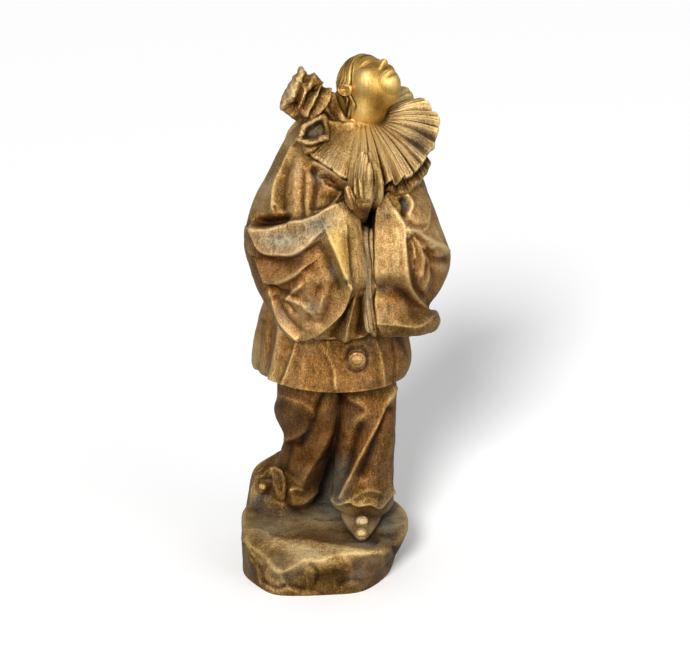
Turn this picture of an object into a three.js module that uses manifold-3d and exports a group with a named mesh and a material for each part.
// A cast bronze figure of a commedia dell'arte clown on a rock, in millimetres, +Z up.
// The clown stands with the head thrown back and the palms pressed together, in a pleated
// ruff, a blouse with very wide sleeves, wide trousers and slippers with pompons.
import * as THREE from 'three';
import Module from 'manifold-3d';
import { ParametricGeometry } from 'three/addons/geometries/ParametricGeometry.js';
import { mergeVertices } from 'three/addons/utils/BufferGeometryUtils.js';

const wasm = await Module();
wasm.setup();

// Driving sizes
const FIGURE_HEIGHT = 345; // top of the rock, under the slippers, to the top of the cap
const ROCK_HEIGHT = 35; // underside to the flat top that the slippers stand on
const ROCK_WIDTH = 118;
const ROCK_DEPTH = 109;
const HEM_THICKNESS = 3; // of the cast cloth at the open hems
const BUTTON_DIAMETER = 12;
const PLEATS = 29; // in the collar of the ruff, most of the way round

// The figure's pose and carving are shares of its height, written in 345ths of it.
const unit = FIGURE_HEIGHT / 345;

// The carving is laid out on a picture of the front, 690 by 651 pixels, as it looks to a
// viewer 20 degrees above it. Widths and heights of folds are in units.
const PICTURE = {
  middle: [345, 325.5],
  focal: 2131,
  distance: 1500,
  aimHeight: 152.5,
  elevation: THREE.MathUtils.degToRad(20),
};
const LOOK = [0, Math.cos(PICTURE.elevation), -Math.sin(PICTURE.elevation)];
const LOOK_UP = [0, Math.sin(PICTURE.elevation), Math.cos(PICTURE.elevation)];

const dot = (a, b) => a[0] * b[0] + a[1] * b[1] + a[2] * b[2];
const plus = (a, b, k = 1) => [a[0] + b[0] * k, a[1] + b[1] * k, a[2] + b[2] * k];
const mix = (a, b, t) => a + (b - a) * t;
const clamp = (x, low = 0, high = 1) => Math.min(high, Math.max(low, x));
const smooth = (x) => clamp(x) ** 2 * (3 - 2 * clamp(x));

// Where a point of the figure, in units, shows on the picture, and how many units a pixel is there.
function onPicture(point) {
  const from = [point[0], point[1], point[2] - PICTURE.aimHeight];
  const away = PICTURE.distance + dot(from, LOOK);
  return {
    x: PICTURE.middle[0] + (PICTURE.focal * from[0]) / away,
    y: PICTURE.middle[1] - (PICTURE.focal * dot(from, LOOK_UP)) / away,
    pixel: away / PICTURE.focal,
  };
}

// The point of the figure, in units, at a depth toward the back, that shows at a picture place.
function fromPicture([x, y, depth]) {
  const right = (x - PICTURE.middle[0]) / PICTURE.focal;
  const up = (PICTURE.middle[1] - y) / PICTURE.focal;
  const slope = [LOOK_UP[2] - up * LOOK[2], LOOK_UP[1] - up * LOOK[1]];
  const rise = (up * PICTURE.distance - depth * slope[1]) / slope[0];
  const away = PICTURE.distance + depth * LOOK[1] + rise * LOOK[2];
  return [right * away, depth, rise + PICTURE.aimHeight];
}

// Value of a Catmull-Rom curve through a list of equally spaced numbers, at 0 to 1 along it.
function along(values, t) {
  const last = values.length - 1;
  const i = Math.min(last - 1, Math.floor(t * last));
  const f = t * last - i;
  const at = (k) => values[clamp(k, 0, last)];
  const [a, b, c, d] = [at(i - 1), at(i), at(i + 1), at(i + 2)];
  return b + 0.5 * f * (c - a + f * (2 * a - 5 * b + 4 * c - d + f * (3 * (b - c) + d - a)));
}

// A gentle unevenness, from three crossed waves of one length.
function uneven(p, length, seed) {
  const k = (2 * Math.PI) / length;
  const [x, y, z] = p;
  return (
    (Math.sin(k * (x * 0.8 + y * 0.5 - z * 0.33) + seed) +
      Math.sin(k * (x * -0.46 + y * 0.77 + z * 0.45) + 2.1 * seed) +
      Math.sin(k * (x * 0.31 - y * 0.38 + z * 0.87) + 3.7 * seed)) /
    3
  );
}

// Folds. Each is a line of picture pixels, [across, down], with its height at its start and
// end and how far it spreads to its left and right as it runs. A negative height is a hollow.
const fold = (line, heights, left, right) => ({ line, heights, left, right });

function foldHeight({ line, heights, left, right }, spot) {
  let best = { distance: Infinity };
  const steps = line.length > 2 ? 4 * (line.length - 1) : 1;
  const at = (t) => [0, 1].map((axis) => along(line.map((p) => p[axis]), t));
  let start = at(0);
  for (let i = 0; i < steps; i++) {
    const end = at((i + 1) / steps);
    const run = [end[0] - start[0], end[1] - start[1]];
    const off = [spot.x - start[0], spot.y - start[1]];
    const length = Math.hypot(...run);
    const share = clamp((off[0] * run[0] + off[1] * run[1]) / length ** 2);
    const distance = Math.hypot(off[0] - run[0] * share, off[1] - run[1] * share);
    if (distance < best.distance) {
      const side = run[0] * off[1] - run[1] * off[0];
      best = { distance, side, share: (i + share) / steps };
    }
    start = end;
  }
  const spread = best.side < 0 ? left : right;
  const height = mix(heights[0], heights[1], best.share);
  return height * Math.exp(-(((best.distance * spot.pixel) / spread) ** 1.7));
}

// Height of a set of folds at a point of the front, fading out where the cloth turns away.
function carving(folds, point, normal) {
  const facing = smooth((-dot(normal, LOOK) + 0.05) / 0.4);
  if (facing === 0) return 0;
  const spot = onPicture(point);
  return facing * folds.reduce((sum, f) => sum + foldHeight(f, spot), 0);
}

// Unit normals of a closed grid of points, rows of equal length that wrap round.
function gridNormals(rows) {
  return rows.map((row, i) =>
    row.map((_, j) => {
      const n = row.length;
      const across = plus(row[(j + 1) % n], row[(j + n - 1) % n], -1);
      const down = plus(rows[Math.min(rows.length - 1, i + 1)][j], rows[Math.max(0, i - 1)][j], -1);
      const normal = new THREE.Vector3(...across).cross(new THREE.Vector3(...down)).normalize();
      return normal.toArray();
    }),
  );
}

// A closed solid from a grid: row by row, with its first and last rows drawn in to points.
function solidFromRows(rows) {
  const centre = (row) => row.reduce((s, p) => plus(s, p, 1 / row.length), [0, 0, 0]);
  const first = rows[0].map(() => centre(rows[0]));
  const last = rows[0].map(() => centre(rows.at(-1)));
  return solidFromGrid([first, ...rows, last]);
}

function solidFromGrid(rows) {
  const count = rows[0].length;
  const stacks = rows.length - 1;
  const place = (u, v, target) => {
    const row = rows[Math.round(v * stacks)];
    target.set(...row[Math.round(u * count) % count]);
  };
  return solid(new ParametricGeometry(place, count, stacks));
}

// A closed manifold solid from a three.js geometry, whichever way its faces were wound.
function solid(geometry) {
  const bare = geometry.clone();
  bare.deleteAttribute('normal');
  bare.deleteAttribute('uv');
  const merged = mergeVertices(bare, 1e-4);
  const index = [...merged.index.array];
  const kept = [];
  for (let i = 0; i < index.length; i += 3) {
    const [a, b, c] = index.slice(i, i + 3);
    if (a !== b && b !== c && c !== a) kept.push([a, b, c]);
  }
  const build = (triangles) =>
    new wasm.Manifold(
      new wasm.Mesh({
        numProp: 3,
        vertProperties: new Float32Array(merged.attributes.position.array),
        triVerts: new Uint32Array(triangles.flat()),
      }),
    );
  const made = build(kept);
  return made.volume() > 0 ? made : build(kept.map(([a, b, c]) => [a, c, b]));
}

// A ring of cloth: an oval from its left end to its right end, half as deep as `half`, whose
// middle hangs `sag` lower than its ends.
const ring = (left, right, half, sag = 0) => ({ left, right, half, sag });

// An upright oval ring by its middle, half width, half depth and turn in degrees.
function oval(x, y, z, halfWidth, halfDepth, turn = 0) {
  const a = THREE.MathUtils.degToRad(turn);
  const end = [Math.cos(a) * halfWidth, Math.sin(a) * halfWidth, 0];
  return ring(plus([x, y, z], end, -1), plus([x, y, z], end), halfDepth);
}

// Rows of points through a list of rings, first ring first, closer together in front.
function ringRows(rings, count, rowCount, fullness = 1) {
  const value = (pick, t) => along(rings.map(pick), t);
  const end = (side, t) => [0, 1, 2].map((axis) => value((r) => r[side][axis], t));
  return Array.from({ length: rowCount }, (_, i) => {
    const t = i / (rowCount - 1);
    const [left, right] = [end('left', t), end('right', t)];
    const middle = plus(left, right).map((x) => x / 2);
    const half = plus(right, middle, -1);
    const flat = Math.hypot(half[0], half[1]);
    const deep = [-half[1] / flat, half[0] / flat, 0];
    return Array.from({ length: count }, (_, j) => {
      const turn = (2 * Math.PI * j) / count;
      const angle = turn - 0.3 * Math.cos(turn);
      const [c, s] = [Math.cos(angle), Math.sin(angle)];
      const across = Math.sign(c) * Math.abs(c) ** fullness;
      const out = Math.sign(s) * Math.abs(s) ** fullness * value((r) => r.half, t);
      const point = plus(plus(middle, half, across), deep, out);
      point[2] -= value((r) => r.sag, t) * (1 - across ** 2);
      return point;
    });
  });
}

// Carves the rows, and turns the last one in as an open hem with a hollow behind it.
function carve(rows, folds, back = () => 0) {
  const normals = gridNormals(rows);
  const waist = Math.floor(rows.length / 2);
  const middle = rows[waist].reduce((s, p) => plus(s, p, 1 / rows[waist].length), [0, 0, 0]);
  const outward = Math.sign(dot(normals[waist][0], plus(rows[waist][0], middle, -1)));
  return rows.map((row, i) =>
    row.map((point, j) => {
      const normal = normals[i][j].map((x) => x * outward);
      return plus(point, normal, carving(folds, point, normal) + back(point, normal));
    }),
  );
}

function openHem(rows, depth) {
  const rim = rows.at(-1);
  const centre = rim.reduce((s, p) => plus(s, p, 1 / rim.length), [0, 0, 0]);
  const inward = (share, rise) =>
    rim.map((p) => {
      const out = [p[0] - centre[0], p[1] - centre[1], 0];
      const length = Math.hypot(out[0], out[1]);
      const kept = Math.max(0.2, 1 - (share * HEM_THICKNESS) / (unit * length));
      return [centre[0] + out[0] * kept, centre[1] + out[1] * kept, p[2] + rise];
    });
  return [...rows, inward(1, 0), inward(2, depth)];
}

// A swelling form with a given outline on the picture, a curve through places with a depth each. It
// stands off by its two heights in front and behind, and a cup sinks its front.
function pad(middle, outline, [front, back], folds, [count, rowCount], cup = 0) {
  const wrapped = [...outline.slice(-2), ...outline, ...outline.slice(0, 2)].map(fromPicture);
  const span = wrapped.length - 1;
  const centre = fromPicture(middle);
  const rows = Array.from({ length: rowCount }, (_, i) => {
    const polar = (Math.PI * (i + 0.5)) / rowCount;
    const share = Math.sin(polar);
    const reach = Math.cos(polar) * (polar < Math.PI / 2 ? front : back);
    const sunk = polar < Math.PI / 2 ? cup * Math.exp(-((share / 0.68) ** 5)) : 0;
    return Array.from({ length: count }, (_, j) => {
      const t = (2 + (j / count) * outline.length) / span;
      const rim = [0, 1, 2].map((axis) => along(wrapped.map((p) => p[axis]), t));
      return plus(plus(centre, plus(rim, centre, -1), share), LOOK, sunk - reach);
    });
  });
  return solidFromRows(carve(rows, folds));
}

// Long hanging folds for the sides of the cloth that the picture doesn't show.
const hanging = (height, length, seed) => (point, normal) => {
  const behind = smooth((dot(normal, LOOK) + 0.1) / 0.5);
  const turn = Math.atan2(normal[1], normal[0]);
  const lean = (point[2] / 345) * 2.2;
  const wave = Math.sin(turn * length + lean + seed) + 0.4 * Math.sin(turn * 1.7 * length - lean);
  return behind * height * wave;
};

function blouseRows() {
  const rings = [
    oval(12.5, 0, 305, 12, 12),
    oval(12, 1, 296, 19, 15),
    oval(11, 2, 284, 33, 21),
    oval(9, 2, 266, 40, 26),
    oval(6, 2, 238, 40, 29),
    oval(2, 3, 205, 42, 32),
    oval(-3, 4, 175, 45, 36),
    oval(-3.5, 3, 148, 48, 39),
    oval(-3.5, 2, 130, 50, 43),
    oval(-6, 2, 119, 50.5, 45),
  ];
  const folds = [
    fold([[282, 326], [279, 348], [272, 384]], [3, 4], 4, 2.5),
    fold([[296, 344], [288, 366], [279, 387]], [1.5, 2.5], 4, 3),
    fold([[322, 345], [327, 366], [336, 389]], [0.8, 2.2], 5, 2.5),
    fold([[377, 340], [384, 360], [386, 384]], [1, 2], 4, 3),
    fold([[402, 338], [407, 352], [402, 362]], [-3, -1], 4, 4),
  ];
  return carve(ringRows(rings, 24, 9), folds, hanging(2.2, 8, 0.7));
}

function blouse() {
  return solidFromRows(openHem(blouseRows(), 8));
}

// The tail of the blouse that swings out behind the right hip.
function blouseTail() {
  const rings = [
    oval(-34, 18, 185, 14, 16),
    oval(-38, 20, 160, 21, 21),
    oval(-42, 22, 136, 23, 23),
    oval(-42.5, 24, 118, 24.5, 24),
    oval(-42, 25, 111.5, 23, 23),
  ];
  const folds = [fold([[262, 322], [259, 345], [256, 370]], [-1.5, -2.5], 3, 4)];
  const rows = carve(ringRows(rings, 16, 6), folds, hanging(1.5, 6, 0.2));
  return solidFromRows(openHem(rows, 7));
}

function rightSleeve() {
  const rings = [
    ring([-29, 8, 300], [6, 4, 300], 9),
    ring([-41, 5, 286], [4, -8, 286], 17),
    ring([-51, 2, 266], [5, -22, 269], 22),
    ring([-60.5, 0, 245], [7, -36, 255], 24),
    ring([-65.8, -2, 226], [9, -44, 241], 26),
    ring([-66.2, -3, 212], [10, -47, 227], 26, 2),
    ring([-62, -4, 200], [12, -49, 214], 26, 9),
    ring([-58.5, -7, 192], [13, -49, 206], 24, 20),
    ring([-51, -12, 187], [12, -48, 199], 20, 34),
  ];
  const folds = [
    fold([[291, 149], [281, 172], [275, 194], [277, 208]], [3, 4], 3, 6),
    fold([[297, 154], [296, 185], [298, 216]], [3, 4], 6, 6),
    fold([[303, 168], [302, 198], [304, 222]], [-4, -5], 2.5, 2.5),
    fold([[309, 163], [307, 188], [309, 213]], [2.5, 3], 2.5, 2.5),
    fold([[312, 172], [313, 190], [311, 211]], [-4, -4], 4, 2.5),
    fold([[318, 167], [321, 174], [323, 183]], [-5, -4], 4, 4),
    fold([[310, 160], [320, 157], [332, 165], [341, 181]], [3, 3.5], 3, 3),
    fold([[322, 178], [332, 187], [346, 191]], [3, 2.5], 2.5, 3),
    fold([[260, 220], [272, 221], [287, 218]], [-9, -8], 4, 3.5),
    fold([[254, 228], [290, 226], [306, 222], [335, 207]], [4, 4], 3, 6),
    fold([[256, 232], [262, 248], [290, 254], [309, 239]], [4.5, 4.5], 7, 2.5),
    fold([[262, 258], [280, 263], [305, 250]], [-4, -5], 4, 6),
    fold([[330, 233], [336, 250], [345, 279]], [3, 4], 5, 3),
    fold([[344, 236], [348, 258], [350, 282]], [-4, -4], 3, 3),
    fold([[318, 246], [328, 262], [339, 288]], [-4, -5], 4, 4),
    fold([[356, 212], [362, 248], [364, 286]], [3, 3.5], 3, 5),
    fold([[304, 256], [306, 275], [312, 300]], [2, 2], 8, 8),
    fold([[252, 247], [261, 268], [275, 281], [301, 271]], [3, 4], 7, 2.5),
    fold([[267, 288], [276, 293], [288, 291]], [-6, -5], 3.5, 4.5),
    fold([[302, 284], [294, 292], [286, 301]], [3.5, 4], 3, 3),
    fold([[318, 289], [314, 302], [309, 320]], [-3.5, -3], 4, 4),
    fold([[267, 284], [279, 311], [297, 338]], [3.5, 3.5], 3, 3),
    fold([[276, 299], [286, 316], [298, 330]], [-4, -3], 3, 3),
    fold([[348, 287], [341, 310], [326, 335]], [3.5, 3.5], 3, 4),
  ];
  const rows = carve(ringRows(rings, 27, 12, 0.92), folds, hanging(2.5, 7, 2.1));
  return solidFromRows(openHem(rows, 12));
}

function leftSleeve() {
  const rings = [
    ring([40, 6, 280], [20, 2, 294], 10),
    ring([46, 5, 266], [20, -14, 279], 16),
    ring([48.5, 3, 251], [23, -34, 262], 19),
    ring([58.5, 0, 227], [24, -45, 241], 21),
    ring([66, -2, 206], [22, -49, 223], 22),
    ring([61, -4, 187], [20, -50, 203], 22),
    ring([50.5, -6, 172], [19, -50, 185], 20),
    ring([60.5, -8, 163], [18, -50, 170], 20),
    ring([56, -9, 157.5], [19, -48, 164], 18, 1),
  ];
  const folds = [
    fold([[378, 204], [378, 240], [376, 280], [378, 329]], [3, 3], 5, 2.5),
    fold([[395, 210], [402, 228], [408, 274], [431, 308]], [4.5, 5.5], 3, 5),
    fold([[410, 238], [413, 262], [417, 284], [426, 297]], [-5, -6], 3, 3),
    fold([[404, 225], [415, 235], [428, 244], [449, 255]], [3.5, 5], 3, 3),
    fold([[407, 231], [417, 244], [424, 257], [422, 276]], [3.5, 3.5], 2.5, 2.5),
    fold([[430, 257], [438, 262], [446, 261]], [-4, -3], 3, 3),
    fold([[431, 268], [436, 280], [431, 292]], [-4, -4], 4, 4),
    fold([[427, 260], [429, 274], [424, 289]], [3, 3], 2.5, 2.5),
    fold([[404, 198], [406, 206], [407, 214]], [-9, -7], 3.5, 3.5),
    fold([[411, 194], [415, 204], [411, 217]], [3.5, 3], 2.5, 2.5),
    fold([[419, 192], [425, 208], [431, 230]], [3, 2], 4, 3),
    fold([[380, 290], [400, 294], [419, 305]], [-6, -6], 4.5, 3.5),
    fold([[382, 319], [405, 322], [437, 314]], [3.5, 3.5], 5, 3),
  ];
  const rows = carve(ringRows(rings, 25, 12, 0.92), folds, hanging(2.5, 7, 4.0));
  return solidFromRows(openHem(rows, 10));
}

// The inner side of the right sleeve, which hangs behind its front down to the level of the hem.
function sleeveLining() {
  const outline = [
    [330, 292, -42],
    [346, 280, -44],
    [362, 278, -45],
    [369, 296, -45],
    [371, 322, -45],
    [366, 335, -44],
    [352, 339, -43],
    [335, 339, -41],
    [314, 338, -39],
    [320, 318, -40],
  ];
  const folds = [
    fold([[357, 290], [352, 312], [346, 338]], [2.5, 3], 3, 4),
    fold([[362, 300], [361, 318], [359, 334]], [-4, -5], 3, 3),
  ];
  return pad([350, 315, -43], outline, [4, 8], folds, [11, 5]);
}

// The edge of the inner sleeve that hangs between the two.
function sleeveStrip() {
  const rings = [
    oval(14, -40, 232, 4, 6),
    oval(14.5, -45, 215, 3.6, 6),
    oval(16, -47, 190, 3.4, 6),
    oval(18, -49, 166, 3.6, 6),
    oval(19, -49, 158, 2.4, 4),
  ];
  return solidFromRows(ringRows(rings, 8, 6));
}

function rightLeg() {
  const rings = [
    oval(-22, 6, 145, 24, 26),
    oval(-24, 7, 120, 24, 27),
    oval(-26.5, 8, 96, 22, 26),
    oval(-27.5, 10, 84, 23, 24),
    oval(-26.5, 14, 64, 17.5, 22),
    oval(-31, 21, 48, 15.5, 21),
    oval(-37, 27, 28, 17, 19),
    oval(-40, 30, 10, 18, 19),
    oval(-40, 31, 0, 17, 18),
  ];
  const folds = [
    fold([[276, 394], [305, 406], [314, 418], [306, 430], [286, 438]], [3, 5], 3, 7),
    fold([[326, 392], [314, 418], [300, 446]], [-4, -5], 4, 4),
    fold([[336, 396], [328, 432], [300, 480]], [4, 4], 6, 5),
    fold([[290, 446], [284, 470]], [-3, -3], 4, 4),
    fold([[276, 472], [282, 488], [288, 504]], [3, 2], 3, 3),
    fold([[296, 478], [300, 490]], [2, 3], 4, 3),
  ];
  return solidFromRows(carve(ringRows(rings, 19, 10), folds, hanging(1.6, 6, 1.3)));
}

function leftLeg() {
  const rings = [
    oval(14, 6, 145, 22, 24),
    oval(15, 6, 120, 21.5, 25),
    oval(15.5, 5, 84, 21, 25),
    oval(15, 5, 50, 20.5, 24),
    oval(14, 5, 28, 20.5, 25),
    ring([-7, 0, 15], [34, 14, 12], 24, -2),
    ring([-1, 3, 3], [28, 12, 2], 17),
  ];
  const folds = [
    fold([[393, 388], [378, 422], [358, 462], [343, 496]], [4, 4], 3.5, 3.5),
    fold([[388, 410], [374, 446], [362, 474]], [-5, -4], 4, 5),
    fold([[352, 400], [366, 410], [356, 421]], [3, 3], 6, 4),
    fold([[360, 426], [352, 446], [346, 470]], [-3, -3], 4, 4),
    fold([[390, 440], [388, 470], [390, 492]], [1, 2], 4, 4),
    fold([[334, 500], [345, 504], [360, 506]], [3, 3], 4, 3),
    fold([[352, 497], [366, 490], [378, 494]], [2.5, 2], 3, 3),
  ];
  return solidFromRows(carve(ringRows(rings, 18, 9), folds, hanging(1.6, 6, 5.2)));
}

// The seat of the trousers, which closes the gap between the legs down to the knees.
function seat() {
  const rings = [
    oval(-6, 8, 120, 16, 18),
    oval(-6, 10, 90, 13, 16),
    oval(-7, 12, 64, 10, 12),
    oval(-8, 13, 54, 5, 7),
  ];
  return solidFromRows(ringRows(rings, 10, 5));
}

// A ball, stretched to three half sizes, tapered along its length and turned about Z.
function egg(centre, halves, { turn = 0, tilt = 0, taper = 0, detail = [12, 8] } = {}) {
  const [count, rowCount] = detail;
  const spin = new THREE.Euler(THREE.MathUtils.degToRad(tilt), 0, THREE.MathUtils.degToRad(turn), 'ZXY');
  const rows = Array.from({ length: rowCount - 1 }, (_, i) => {
    const polar = (Math.PI * (i + 1)) / rowCount;
    return Array.from({ length: count }, (_, j) => {
      const angle = (2 * Math.PI * j) / count;
      const lengthwise = -Math.cos(polar);
      const slim = 1 - taper * lengthwise;
      const point = new THREE.Vector3(
        halves[0] * Math.sin(polar) * Math.cos(angle) * slim,
        -halves[1] * lengthwise,
        halves[2] * Math.sin(polar) * Math.sin(angle) * slim,
      );
      return plus(centre, point.applyEuler(spin).toArray());
    });
  });
  const tip = (side) => {
    const point = new THREE.Vector3(0, side * halves[1], 0).applyEuler(spin);
    return Array(count).fill(plus(centre, point.toArray()));
  };
  return solidFromGrid([tip(1), ...rows, tip(-1)]);
}

function slippers() {
  return [
    egg([14, -17, 4], [9, 20, 8], { taper: 0.22, turn: -2 }),
    egg([13.5, -33.5, 8], [3.8, 3.8, 3.6], { detail: [9, 6] }),
    egg([13.5, -22, 13], [4.2, 4.2, 4], { detail: [9, 6] }),
    egg([-50, 25, 13], [8, 16, 7], { taper: 0.2, turn: -72 }),
    egg([-60.5, 21, 18], [3.4, 3.4, 3.2], { detail: [9, 6] }),
  ];
}

// The big button: a domed disc on the front of the blouse, at a place on the picture.
const BUTTON_SPOT = [357, 359.4];

function button() {
  const away = (p) => {
    const seen = onPicture(p);
    return Math.hypot(seen.x - BUTTON_SPOT[0], seen.y - BUTTON_SPOT[1]);
  };
  const front = blouseRows().flat().filter((p) => p[1] < 0);
  const depth = front.reduce((best, p) => (away(p) < away(best) ? p : best))[1];
  const radius = BUTTON_DIAMETER / (2 * unit);
  const middle = fromPicture([...BUTTON_SPOT, depth]);
  return egg(middle, [radius, radius * 0.6, radius], { detail: [12, 6] });
}

// The collar of the ruff, spoke by spoke: where it starts at the neck and ends at the rim on the
// picture, each with a depth toward the back, how far it swells and how high its pleats are.
const COLLAR = {
  spokes: [
    { inner: [351, 120, -8], outer: [307, 147, -20], swell: 0, pleat: 0.8 },
    { inner: [352, 124, -10], outer: [318, 160, -32], swell: 1, pleat: 0.7 },
    { inner: [356, 127, -12], outer: [341, 174, -42], swell: -0.5, pleat: 0.8 },
    { inner: [363, 128, -13], outer: [364, 180, -47], swell: 0, pleat: 1.3 },
    { inner: [370, 128, -13], outer: [385, 184, -48], swell: 1, pleat: 1.8 },
    { inner: [375, 127, -12], outer: [403, 180, -44], swell: 1.5, pleat: 1.8 },
    { inner: [379, 126, -10], outer: [416, 170, -37], swell: 0.5, pleat: 0.8 },
    { inner: [382, 124, -7], outer: [427, 155, -27], swell: 1.5, pleat: 0.7 },
    { inner: [384, 121, -3], outer: [435, 137, -14], swell: 0.5, pleat: 1.6 },
    { inner: [385, 118, 1], outer: [437, 119, -1], swell: 1, pleat: 1.6 },
    { inner: [385, 114, 5], outer: [424, 107, 12], swell: 1, pleat: 1.6 },
    { inner: [382, 110, 9], outer: [404, 91, 26], swell: 1.5, pleat: 0.8 },
    { inner: [372, 106, 12], outer: [380, 87, 36], swell: 0, pleat: 1.4 },
    { inner: [358, 106, 12], outer: [350, 92, 36], swell: 0, pleat: 1.4 },
  ],
  // Deeper folds: at which spoke, how deep and how wide in spokes
  folds: [
    [7.65, -6, 0.35],
    [10, 3.5, 0.3],
    [10.5, -3.5, 0.3],
  ],
  thickness: 3,
};

// The under layer that bulges out below the collar at the left shoulder.
const UNDERLAYER = {
  spokes: [
    { inner: [374, 160, -22], outer: [385, 190, -40], swell: 0, pleat: 2 },
    { inner: [384, 158, -18], outer: [402, 195, -38], swell: 0, pleat: 2.5 },
    { inner: [394, 150, -12], outer: [421, 180, -30], swell: 0, pleat: 2 },
    { inner: [402, 140, -4], outer: [430, 164, -18], swell: 0, pleat: 1.5 },
  ],
  folds: [],
  thickness: 5,
};

// A pleated strip over its spokes, whose pleats swing to its two sides and grow toward the rim.
function frill({ spokes, folds, thickness }, pleats, steps = 2) {
  const line = (key, t) => [0, 1, 2].map((axis) => along(spokes.map((s) => fromPicture(s[key])[axis]), t));
  const count = pleats * 2;
  const columns = Array.from({ length: count + 1 }, (_, j) => {
    const t = j / count;
    const [a, b] = [line('inner', t), line('outer', t)];
    const run = plus(line('outer', Math.min(1, t + 0.02)), line('outer', Math.max(0, t - 0.02)), -1);
    const side = new THREE.Vector3(...run).cross(new THREE.Vector3(...plus(a, b, -1))).normalize();
    const pleat = (j % 2 ? 1 : -1) * along(spokes.map((s) => s.pleat), t);
    const where = t * (spokes.length - 1);
    const deep = folds.reduce(
      (sum, [spoke, depth, width]) => sum + depth * Math.exp(-(((where - spoke) / width) ** 2)),
      along(spokes.map((s) => s.swell), t),
    );
    const place = (share, face) => {
      const grown = (pleat + deep * share) * Math.max(0, share) ** 0.8;
      const arch = 2.5 * Math.sin(Math.PI * share);
      const point = plus(a, plus(b, a, -1), share);
      return plus(point, side.toArray(), grown + arch + face * (thickness / 2) * (0.5 + 0.5 * share));
    };
    const shares = Array.from({ length: steps + 1 }, (_, i) => -0.12 + (1.12 * i) / steps);
    return [...shares.map((s) => place(s, 1)), ...shares.reverse().map((s) => place(s, -1))];
  });
  return solidFromRows(columns);
}

// The craggy part of the ruff that is thrown up over the right shoulder.
function turnedRuff() {
  const outline = [
    [301, 69, -8],
    [307, 75, -6],
    [315, 79, -4],
    [320, 86, -2],
    [328, 91, 0],
    [330, 98, 0],
    [327, 108, -2],
    [318, 118, -6],
    [304, 123, -10],
    [294, 118, -10],
    [288, 110, -10],
    [283, 100, -10],
    [289, 87, -9],
    [295, 77, -8],
  ];
  const folds = [
    fold([[301, 68], [296, 84], [287, 101]], [3, 4], 3, 6),
    fold([[306, 79], [300, 94], [294, 109]], [-5, -8], 2.5, 2.5),
    fold([[311, 80], [304, 92], [299, 107]], [3, 4.5], 2.5, 3),
    fold([[316, 88], [310, 95], [304, 107]], [-5, -5], 2.5, 2.5),
    fold([[320, 86], [313, 97], [305, 113]], [4, 4.5], 2.5, 2.5),
    fold([[322, 91], [319, 100]], [-5, -4], 2.5, 2.5),
    fold([[327, 91], [323, 103], [311, 116]], [4, 4], 2.5, 2.5),
    fold([[291, 106], [297, 114], [303, 120]], [-5, -6], 2.5, 2.5),
  ];
  return pad([305, 96, -6], outline, [12, 8], folds, [18, 9]);
}

// The cloth of the ruff from the right shoulder to the neck.
function shoulderCloth() {
  const outline = [
    [322, 88, -1],
    [331, 92, 0],
    [337, 104, -2],
    [345, 116, -6],
    [353, 122, -9],
    [352, 128, -12],
    [341, 137, -18],
    [330, 149, -23],
    [316, 153, -22],
    [308, 146, -18],
    [312, 125, -8],
    [316, 104, -4],
  ];
  const folds = [
    fold([[328, 121], [340, 123], [353, 124]], [2.5, 1.5], 2.5, 3),
    fold([[324, 116], [334, 119], [344, 121]], [-3.5, -1.5], 2.5, 2.5),
  ];
  return pad([331, 120, -6], outline, [6, 8], folds, [12, 6]);
}

// The curled loop of the ruff at the right shoulder, a cup open to the front, over its lower lip.
function curl() {
  const rim = [
    [324, 117, -14],
    [328, 128, -18],
    [327, 138, -24],
    [321, 142, -28],
    [312, 145, -30],
    [304, 144, -28],
    [298, 139, -24],
    [301, 131, -20],
    [305, 124, -17],
    [314, 119, -14],
  ];
  const lip = [
    [325, 140, -22],
    [322, 146, -26],
    [315, 150, -28],
    [307, 154, -28],
    [303, 149, -26],
    [302, 142, -24],
    [312, 141, -24],
  ];
  const cup = pad([314, 132, -20], rim, [6, 9], [], [12, 8], 13);
  const under = pad([313, 147, -26], lip, [5, 6], [], [10, 4]);
  return [cup, under];
}

function ruff() {
  return [frill(COLLAR, PLEATS), frill(UNDERLAYER, 3), turnedRuff(), shoulderCloth(), ...curl()];
}

function neck() {
  const rings = [
    oval(13, 2, 286, 12, 12),
    oval(13.5, 0, 300, 10.4, 11),
    oval(14.5, 0, 307, 12.4, 12),
    oval(16.5, 1, 314, 15.5, 13.5),
    oval(18, 2, 320, 14, 13),
  ];
  const nape = egg(fromPicture([343, 107, 9]), [8, 9, 13], { turn: 20, detail: [10, 6] });
  return [solidFromRows(ringRows(rings, 12, 6)), nape];
}

// The head, in head heights: its middle, the way it faces and the ball-like masses it is built of.
const HEAD = { middle: [16.6, 5, 323.6], height: 52, back: 70, aside: 40 };

function headFrame() {
  const back = THREE.MathUtils.degToRad(HEAD.back);
  const aside = THREE.MathUtils.degToRad(HEAD.aside);
  const front = [Math.sin(aside) * Math.cos(back), -Math.cos(aside) * Math.cos(back), Math.sin(back)];
  const crown = [-Math.sin(aside) * Math.sin(back), Math.cos(aside) * Math.sin(back), Math.cos(back)];
  const side = [Math.cos(aside), Math.sin(aside), 0];
  return { side, front, crown };
}

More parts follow.
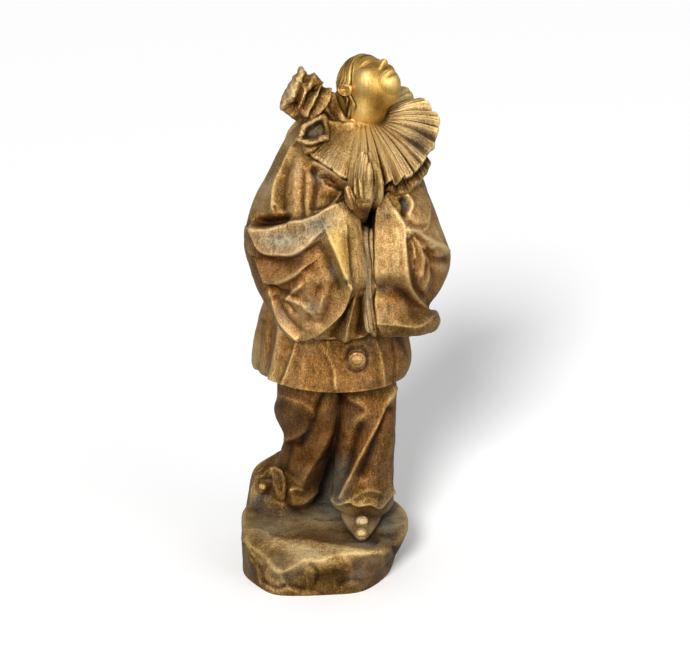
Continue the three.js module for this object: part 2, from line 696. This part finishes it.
function head() {
  const { side, front, crown } = headFrame();
  // An egg-shaped mass by its middle (aside, forward, up) and half sizes, in head heights.
  const mass = (middle, halves, detail) => {
    const [count, rowCount] = detail;
    const rows = Array.from({ length: rowCount + 1 }, (_, i) => {
      const polar = (Math.PI * i) / rowCount;
      return Array.from({ length: count }, (_, j) => {
        const angle = (2 * Math.PI * j) / count;
        const a = (middle[0] + halves[0] * Math.sin(polar) * Math.cos(angle)) * HEAD.height;
        const f = (middle[1] + halves[1] * Math.sin(polar) * Math.sin(angle)) * HEAD.height;
        const c = (middle[2] + halves[2] * Math.cos(polar)) * HEAD.height;
        return plus(plus(plus(HEAD.middle, side, a), front, f), crown, c);
      });
    });
    return solidFromGrid(rows);
  };
  return [
    mass([0, -0.03, 0.12], [0.34, 0.39, 0.36], [14, 9]),
    mass([0, 0.1, -0.12], [0.27, 0.28, 0.36], [12, 8]),
    mass([0, 0.25, -0.32], [0.14, 0.14, 0.16], [8, 5]),
    mass([0, 0.4, -0.07], [0.05, 0.09, 0.11], [8, 5]),
    mass([-0.35, -0.08, -0.03], [0.05, 0.07, 0.12], [8, 5]),
    mass([0.35, -0.08, -0.03], [0.05, 0.07, 0.12], [8, 5]),
  ];
}

// Two hands pressed together, fingers up, and turned so that the back of the right one shows. Each
// is a flat mitten, grooved between its fingers, with the thumb against it.
const HANDS = { wrist: [367, 212, -44], tips: [366, 150, -53], turn: 50 };

function hands() {
  const [wrist, tips] = [fromPicture(HANDS.wrist), fromPicture(HANDS.tips)];
  const turn = THREE.MathUtils.degToRad(HANDS.turn);
  const across = [-Math.sin(turn), Math.cos(turn), 0];
  return [-1, 1].flatMap((side) => {
    const out = [side * Math.cos(turn), side * Math.sin(turn), 0];
    const at = (share, apart) => plus(plus(wrist, plus(tips, wrist, -1), share), out, apart);
    const sections = [
      { share: -0.1, apart: 6, breadth: 5, thick: 4.5, behind: 9 },
      { share: 0.05, apart: 6, breadth: 6, thick: 5, behind: 2 },
      { share: 0.2, apart: 6.2, breadth: 8.2, thick: 5.2, behind: 0 },
      { share: 0.4, apart: 5.2, breadth: 9.6, thick: 4.8, behind: 0 },
      { share: 0.6, apart: 4.4, breadth: 9.4, thick: 3.6, behind: 0 },
      { share: 0.82, apart: 3.1, breadth: 7.5, thick: 2.8, behind: 0 },
      { share: 1, apart: 2.1, breadth: 3.4, thick: 1.2, behind: 0 },
    ];
    const rings = sections.map(({ share, apart, breadth, thick, behind }) => {
      const middle = plus(at(share, apart), [0, behind, 0]);
      return ring(plus(middle, across, -breadth), plus(middle, across, breadth), thick);
    });
    const rows = ringRows(rings, 12, 7).map((row, i) =>
      row.map((p, j) => {
        const groove = i > 3 ? 0.7 * Math.cos((8 * Math.PI * j) / 12) : 0;
        return plus(p, out, Math.max(0, groove));
      }),
    );
    const thumb = egg(plus(at(0.4, 4), across, 9.5), [3, 10, 3], { tilt: -80, detail: [8, 5] });
    return [solidFromRows(rows), thumb];
  });
}

// The rock: all directions from a middle, cut off by flat faces, each by its outward
// normal and a point on it, in shares of the rock's half width, half depth and height.
const ROCK = {
  middle: [-16, 4, 17],
  faces: [
    [[0, 0.02, 1], [0, 0, 35]],
    [[-0.24, -0.42, 0.88], [-28, -30, 34]],
    [[-0.05, -0.97, -0.06], [-30, -51, 10]],
    [[0.12, -0.97, -0.2], [14, -50, 26]],
    [[0.78, -0.5, -0.42], [35, -22, 12]],
    [[0.93, -0.1, -0.36], [46, 0, 28]],
    [[0.95, 0.2, -0.22], [46, 12, 24]],
    [[0.7, 0.7, -0.05], [34, 46, 20]],
    [[-0.05, 1, 0], [-16, 60, 20]],
    [[-0.75, 0.66, 0.05], [-65, 47, 20]],
    [[-1, -0.05, 0], [-75.5, 8, 20]],
    [[-0.8, -0.62, -0.03], [-64, -32, 12]],
  ],
  sharpness: 16,
};

// Rows from the top down to the foot edge, then the middle of the underside.
function boulder({ middle, faces, sharpness }, [count, rowCount], roughness) {
  const planes = faces.map(([normal, spot]) => {
    const n = plus([0, 0, 0], normal, 1 / Math.hypot(...normal));
    return { n, far: dot(n, plus(spot, middle, -1)) };
  });
  const point = (polar, angle) => {
    const way = [Math.sin(polar) * Math.cos(angle), Math.sin(polar) * Math.sin(angle), Math.cos(polar)];
    const sum = planes.reduce((s, { n, far }) => s + (Math.max(0, dot(n, way)) / far) ** sharpness, 0);
    const rough = 1 + roughness * (uneven(way, 1.3, 4) + 0.5 * uneven(way, 0.5, 9));
    return plus(middle, way, rough * sum ** (-1 / sharpness));
  };
  const foot = (angle) => {
    let [above, below] = [Math.PI / 2, 0.9 * Math.PI];
    for (let i = 0; i < 24; i++) {
      const half = (above + below) / 2;
      if (point(half, angle)[2] > 0) above = half;
      else below = half;
    }
    return above;
  };
  const angles = Array.from({ length: count }, (_, j) => (2 * Math.PI * j) / count);
  const rows = Array.from({ length: rowCount + 1 }, (_, i) =>
    angles.map((angle) => point((foot(angle) * i) / rowCount, angle)),
  );
  rows[rowCount] = rows[rowCount].map(([x, y]) => [x, y, 0]);
  rows.push(angles.map(() => [middle[0], middle[1], 0]));
  return rows;
}

function rock() {
  const stretch = ([x, y, z]) => [(x * ROCK_WIDTH) / 118, (y * ROCK_DEPTH) / 109, (z * ROCK_HEIGHT) / 35];
  const rows = boulder(ROCK, [28, 10], 0.02);
  return solidFromGrid(rows.map((row) => row.map(stretch)));
}

// The heap of stone behind the legs, which rises from the flat top.
function heap() {
  const middle = [-19, 38, -6];
  const halves = [53, 23, 54];
  const rows = Array.from({ length: 9 }, (_, i) => {
    const polar = (Math.PI * i) / 8;
    return Array.from({ length: 16 }, (_, j) => {
      const angle = (2 * Math.PI * j) / 16;
      const way = [Math.sin(polar) * Math.cos(angle), Math.sin(polar) * Math.sin(angle), Math.cos(polar)];
      const full = 1 + 0.05 * uneven(way, 1.1, 2) + 0.04 * uneven(way, 0.5, 5);
      const point = way.map((x, k) => Math.sign(x) * Math.abs(x) ** 0.9 * halves[k] * full);
      return plus(middle, [point[0], point[1], Math.max(-20, point[2])]);
    });
  });
  return solidFromGrid(rows);
}

// The figure, in units above the top of the rock, joined to the rock it is cast with.
const figure = [
  blouse(),
  blouseTail(),
  rightSleeve(),
  leftSleeve(),
  sleeveLining(),
  sleeveStrip(),
  rightLeg(),
  leftLeg(),
  seat(),
  ...slippers(),
  button(),
  ...ruff(),
  ...neck(),
  ...head(),
  ...hands(),
  heap(),
]
  .reduce((sum, piece) => sum.add(piece))
  .scale(unit)
  .translate([0, 0, ROCK_HEIGHT]);
const cast = figure.add(rock());

function meshFrom(name, shape, material) {
  const { vertProperties, triVerts, numProp } = shape.getMesh();
  const geometry = new THREE.BufferGeometry();
  geometry.setAttribute('position', new THREE.BufferAttribute(new Float32Array(vertProperties), numProp));
  geometry.setIndex(new THREE.BufferAttribute(new Uint32Array(triVerts), 1));
  geometry.computeBoundingBox();
  const mesh = new THREE.Mesh(geometry, material);
  mesh.name = name;
  return mesh;
}

const bronze = new THREE.MeshStandardMaterial({ color: 0x8a5a26, roughness: 0.42, metalness: 0.9 });
const mesh = meshFrom('figure_on_rock', cast, bronze);

// The origin is on the ground, under the middle of the whole casting.
const { min, max } = mesh.geometry.boundingBox;
mesh.position.set(-(min.x + max.x) / 2, -(min.y + max.y) / 2, -min.z);

const group = new THREE.Group();
group.add(mesh);
export default group;
